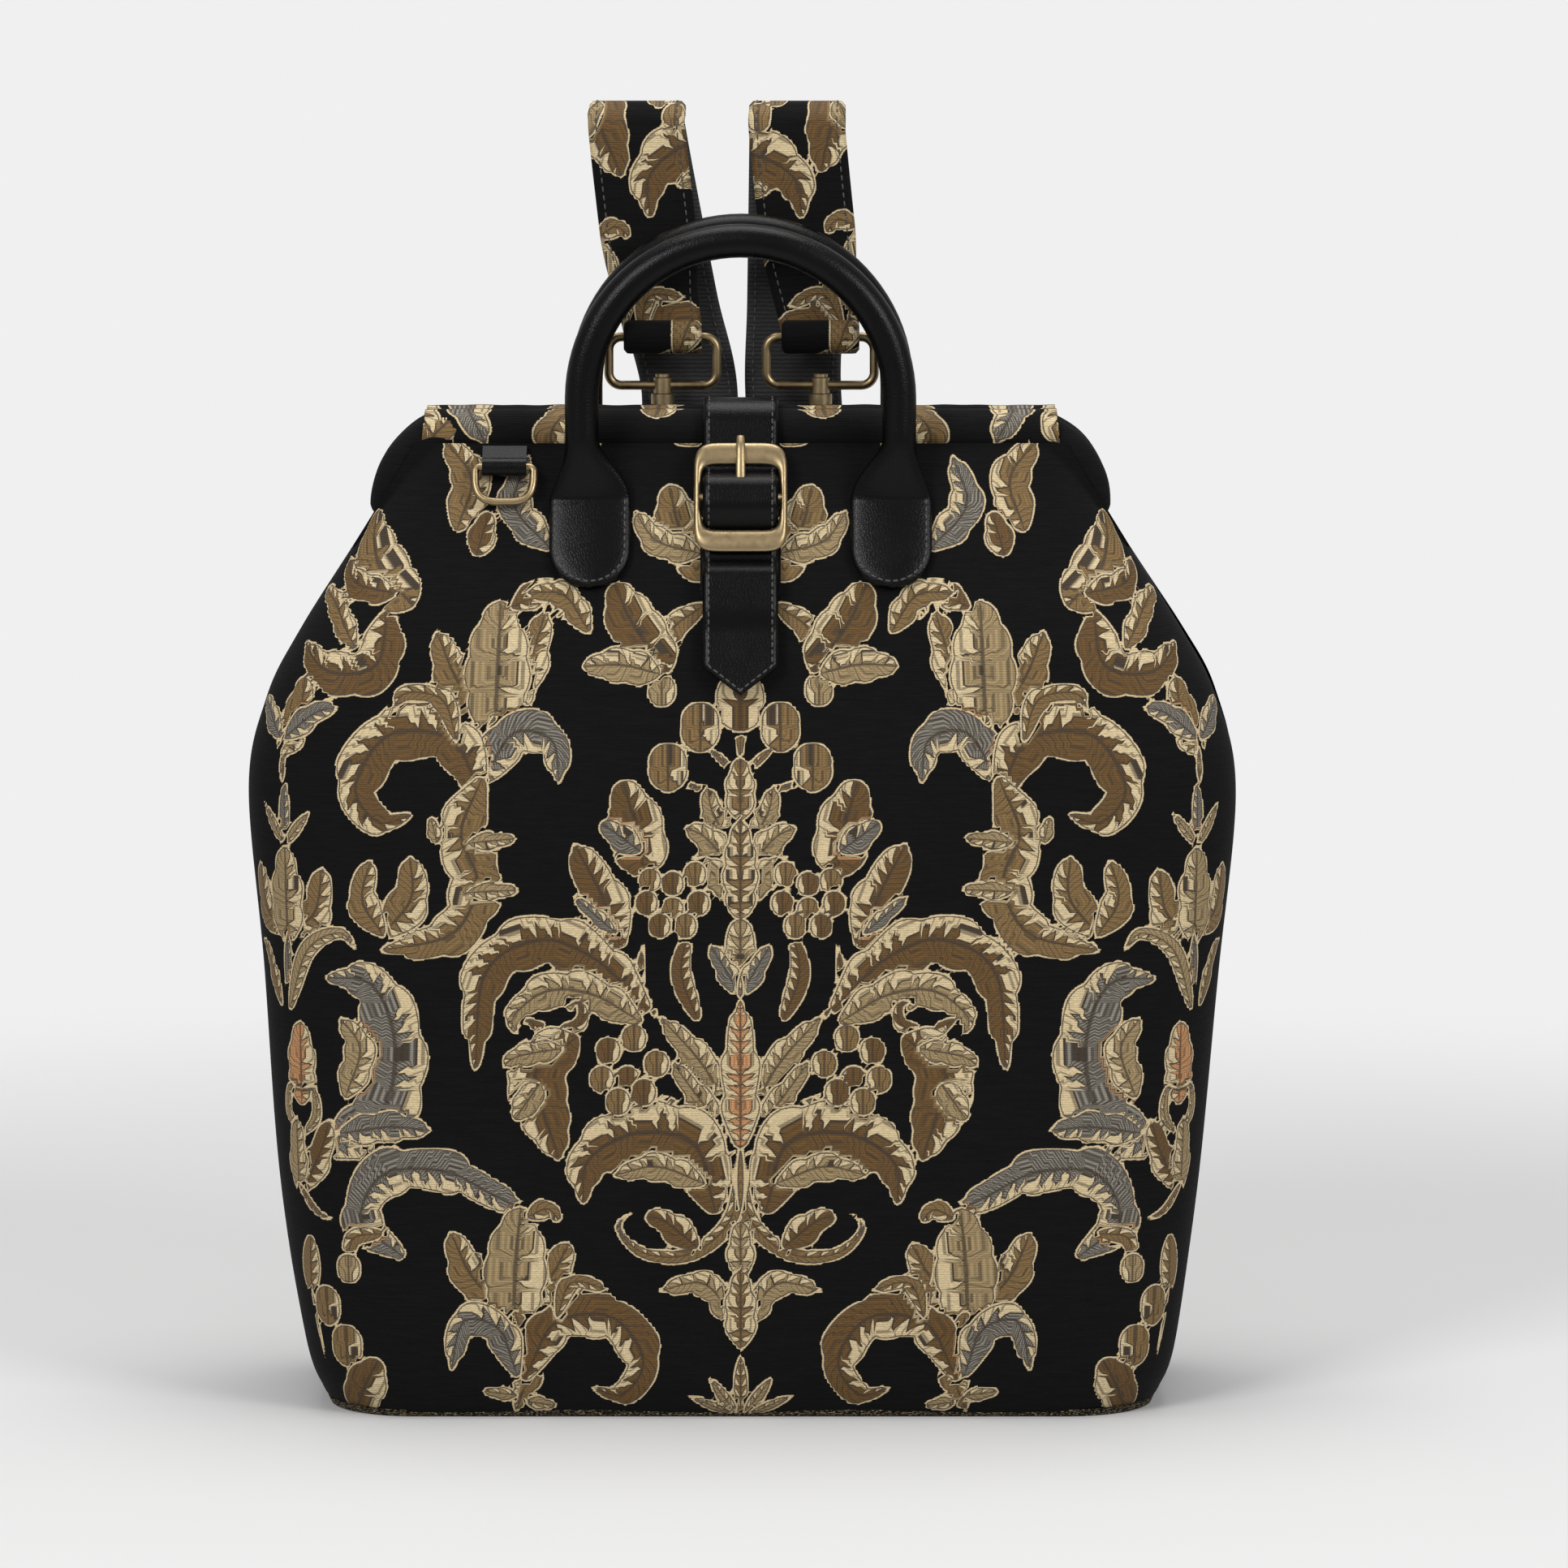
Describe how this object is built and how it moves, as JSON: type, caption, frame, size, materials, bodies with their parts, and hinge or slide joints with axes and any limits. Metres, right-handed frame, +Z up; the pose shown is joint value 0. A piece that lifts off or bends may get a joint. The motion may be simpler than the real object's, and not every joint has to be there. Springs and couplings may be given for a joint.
{
  "type": "laptop backpack",
  "caption": "Carpet-bag style laptop backpack in black damask cloth with a hinged steel mouth, leather handles, buckled closing strap and hooked shoulder straps",
  "frame": {"origin": "the middle of the base, on the floor", "axes": "+Z up, -Y the front with the buckle, +X to the right seen from the front"},
  "size_m": [0.3828, 0.1489, 0.502],
  "materials": {
    "damask": "black chenille ground with cream, gold, brown and peach woven leaves",
    "leather": "black, semi-gloss, fine grain, edge stitched",
    "brass": "antique, dark in the recesses",
    "steel": "plain bar hidden in the roll",
    "webbing": "damask face on black webbing",
    "foam": "padding covered with lining cloth",
    "lining": "plain woven lining",
    "board": "stiff board covered with lining cloth"
  },
  "bodies": {
    "bag": {"base_panel": "damask", "front_panel": "damask", "back_panel": "damask", "left_gusset": "damask", "right_gusset": "damask", "front_padding": "foam", "back_padding": "foam", "base_board": "board", "laptop_divider": "lining", "back_frame_bar": "steel", "back_frame_roll": "damask", "hinge_pins": "steel", "back_handle": "leather", "strap_sewn_end": "leather", "left_shoulder_strap": "webbing", "right_shoulder_strap": "webbing", "left_foot_patch": "leather", "right_foot_patch": "leather", "left_hook_eye": "brass", "right_hook_eye": "brass", "left_anchor_ring": "brass", "right_anchor_ring": "brass", "left_anchor_tab": "leather", "right_anchor_tab": "leather"},
    "front_jaw": {"front_frame_bar": "steel", "front_frame_roll": "damask", "front_handle": "leather", "snap_tab": "leather", "snap_stud": "brass", "front_ring_tab": "leather"},
    "cross_ring": {"front_ring": "brass"},
    "flap": {"closure_strap": "leather", "buckle_frame": "brass", "buckle_prong": "brass", "snap_socket": "brass"},
    "left_hook": {"left_hook_body": "brass"},
    "right_hook": {"right_hook_body": "brass"},
    "left_gate": {"left_hook_gate": "brass"},
    "right_gate": {"right_hook_gate": "brass"}
  },
  "joints": [
    {"name": "front_mouth", "type": "hinge", "parent": "bag", "child": "front_jaw", "pos_m": [0, 0, 0.338], "axis": [1, 0, 0], "range_deg": [0, 50], "deforming": ["front_panel"]},
    {"name": "strap_lift", "type": "hinge", "parent": "bag", "child": "flap", "pos_m": [0, 0.0103, 0.38895], "axis": [-1, 0, 0], "range_deg": [0, 45]},
    {"name": "ring_swing", "type": "hinge", "parent": "front_jaw", "child": "cross_ring", "pos_m": [-0.091, -0.02949, 0.36501], "axis": [-1, 0, 0], "range_deg": [0, 100]},
    {"name": "left_hook_swivel", "type": "hinge", "parent": "bag", "child": "left_hook", "pos_m": [-0.031, 0.045, 0.388], "axis": [0, 0, 1], "range_deg": [-12, 12]},
    {"name": "left_gate_press", "type": "hinge", "parent": "left_hook", "child": "left_gate", "pos_m": [-0.031, 0.0495, 0.3695], "axis": [-1, 0, 0], "range_deg": [0, 9]},
    {"name": "right_hook_swivel", "type": "hinge", "parent": "bag", "child": "right_hook", "pos_m": [0.031, 0.045, 0.388], "axis": [0, 0, 1], "range_deg": [-12, 12]},
    {"name": "right_gate_press", "type": "hinge", "parent": "right_hook", "child": "right_gate", "pos_m": [0.031, 0.0495, 0.3695], "axis": [-1, 0, 0], "range_deg": [0, 9]}
  ],
  "couplings": [
    {"joint": "strap_lift", "follows": "front_mouth", "ratio": 0.9}
  ]
}
